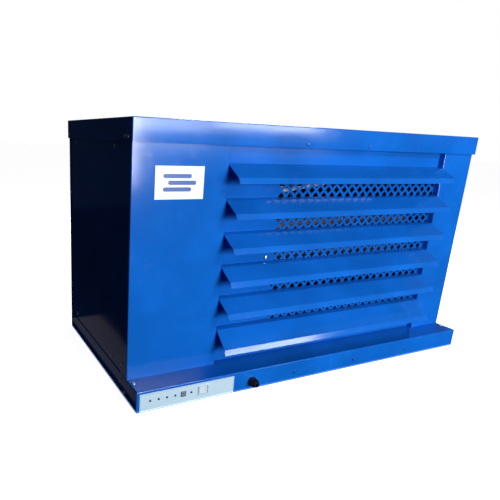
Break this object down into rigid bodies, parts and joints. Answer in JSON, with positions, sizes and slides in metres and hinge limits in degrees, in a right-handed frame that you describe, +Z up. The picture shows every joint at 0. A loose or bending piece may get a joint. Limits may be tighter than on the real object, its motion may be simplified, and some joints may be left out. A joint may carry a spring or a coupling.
{
  "type": "refrigerated air dryer",
  "caption": "Low sheet-steel cabinet on a tray base: louvred intake over a perforated grille, control strip with rocker switch, refrigeration circuit inside, air ports at the rear.",
  "frame": {"origin": "centre of the base underside, on the floor", "axes": "+X to the right along the front, -Y faces the front (louvres), +Z up"},
  "size_m": [1.0088, 0.552, 0.585],
  "materials": {
    "blue_paint": "gloss powder coat",
    "galvanised": "galvanised sheet",
    "black_wire": "gloss coated wire",
    "badge_face": "gloss printed plate",
    "strip_face": "satin anodised",
    "board_green": "solder mask",
    "lamp_lens": "tinted lens",
    "button_cap": "satin",
    "switch_housing": "satin",
    "switch_rocker": "gloss",
    "gland_nylon": "moulded nylon",
    "zinc_screw": "bright zinc",
    "black_paint": "semi-gloss enamel",
    "grommet_rubber": "matt",
    "fin_black": "black coated fins",
    "copper": "drawn copper",
    "motor_casting": "die cast",
    "fan_plastic": "glass-filled nylon",
    "exchanger_gold": "copper-coloured shell",
    "brass_fitting": "turned brass",
    "white_plastic": "satin",
    "lever_red": "dipped vinyl",
    "coil_black": "moulded",
    "knob_grey": "moulded"
  },
  "bodies": {
    "cabinet": {"air_inlet_pipe": "galvanised", "air_outlet_pipe": "galvanised", "badge_plate": "badge_face", "base_flanges": "blue_paint", "base_screws": "zinc_screw", "base_tray": "blue_paint", "compressor_grommets": "grommet_rubber", "compressor_plate": "black_paint", "compressor_shell": "black_paint", "condenser_bends": "copper", "condenser_fins": "fin_black", "condenser_plates": "galvanised", "control_board": "board_green", "control_strip": "strip_face", "drain_ball_valve": "brass_fitting", "drain_solenoid": "coil_black", "drain_spigot": "brass_fitting", "drain_timer": "coil_black", "drain_tubes": "white_plastic", "exchanger_heads": "exchanger_gold", "exchanger_saddles": "galvanised", "exchanger_shell": "exchanger_gold", "fan_conduit": "white_plastic", "fan_guard": "black_wire", "fan_motor": "motor_casting", "fan_motor_bracket": "galvanised", "fan_shroud": "black_paint", "filter_drier": "copper", "front_left_panel": "blue_paint", "front_right_post": "blue_paint", "gland_body": "gland_nylon", "gland_locknut": "gland_nylon", "gland_nut": "gland_nylon", "grille": "blue_paint", "left_side_panel": "blue_paint", "lid": "blue_paint", "lid_screws": "zinc_screw", "louvre_back_panel": "blue_paint", "louvre_blade_1": "blue_paint", "louvre_blade_2": "blue_paint", "louvre_blade_3": "blue_paint", "louvre_blade_4": "blue_paint", "louvre_blade_5": "blue_paint", "louvre_blade_6": "blue_paint", "panel_rails": "galvanised", "panel_screws": "zinc_screw", "port_couplings": "brass_fitting", "rear_panel": "blue_paint", "refrigerant_lines": "copper", "right_side_panel": "blue_paint", "separator_bowl": "black_paint", "separator_head": "motor_casting", "status_lamps": "lamp_lens", "switch_housing": "switch_housing"},
    "fan": {"fan_rotor": "fan_plastic"},
    "rocker": {"rocker_switch": "switch_rocker"},
    "button": {"test_button": "button_cap"},
    "lever": {"drain_valve_lever": "lever_red"},
    "interval": {"interval_knob": "knob_grey"},
    "opening": {"opening_knob": "knob_grey"}
  },
  "joints": [
    {"name": "fan_spin", "type": "hinge", "parent": "cabinet", "child": "fan", "pos_m": [0.265, 0.14, 0.26], "axis": [0, 1, 0], "continuous": true},
    {"name": "switch_rock", "type": "hinge", "parent": "cabinet", "child": "rocker", "pos_m": [-0.3425, -0.2518, 0.0243], "axis": [0, 0, 1], "range_deg": [0, 16]},
    {"name": "test_press", "type": "slide", "parent": "cabinet", "child": "button", "axis": [0, 1, 0], "range_m": [0, 0.0015], "stiffness_N_per_m": 400, "springref_m": -0.0005},
    {"name": "drain_lever_turn", "type": "hinge", "parent": "cabinet", "child": "lever", "pos_m": [-0.3, -0.083, 0.09], "axis": [0, 0, 1], "range_deg": [0, 90]},
    {"name": "interval_turn", "type": "hinge", "parent": "cabinet", "child": "interval", "pos_m": [-0.357, -0.083, 0.165], "axis": [0, 0, 1], "range_deg": [-135, 135]},
    {"name": "opening_turn", "type": "hinge", "parent": "cabinet", "child": "opening", "pos_m": [-0.333, -0.083, 0.165], "axis": [0, 0, 1], "range_deg": [-135, 135]}
  ]
}
